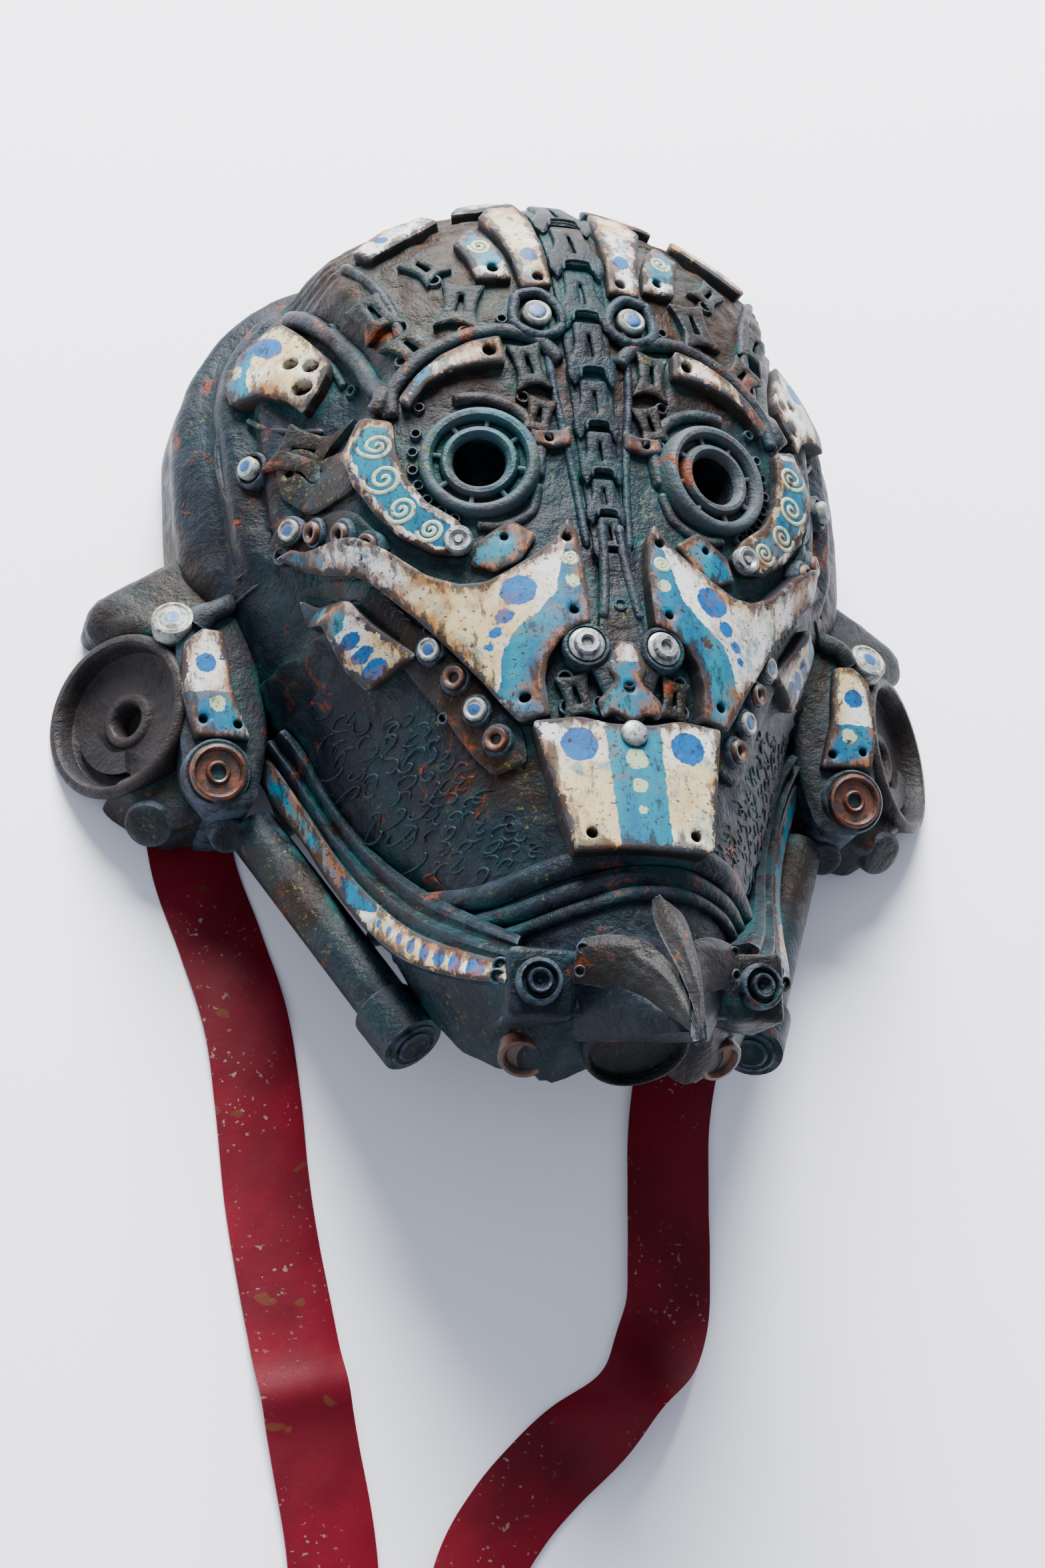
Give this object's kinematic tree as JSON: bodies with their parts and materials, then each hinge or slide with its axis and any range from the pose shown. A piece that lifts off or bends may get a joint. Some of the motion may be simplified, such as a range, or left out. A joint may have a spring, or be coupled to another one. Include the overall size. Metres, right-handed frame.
{
  "type": "robot mask",
  "caption": "Robot face mask: one cast shell with ringed eye holes, raised plates, ear pods and a beaked chin, open at the back, with two flat tie ribbons.",
  "frame": {"origin": "under the middle of the mask's bounding box, on the plane of its flat rear rim; the ribbons aren't counted", "axes": "+Z out of the face, +Y towards the crown, +X across the face to the wearer's left"},
  "size_m": [0.2794, 0.4768, 0.145],
  "materials": {
    "casting": "painted and patinated cast resin, satin, with enamel-coloured plates",
    "ribbon": "crimson satin"
  },
  "bodies": {
    "root": {"mask": "casting", "ribbon_left": "ribbon", "ribbon_right": "ribbon"}
  },
  "joints": []
}
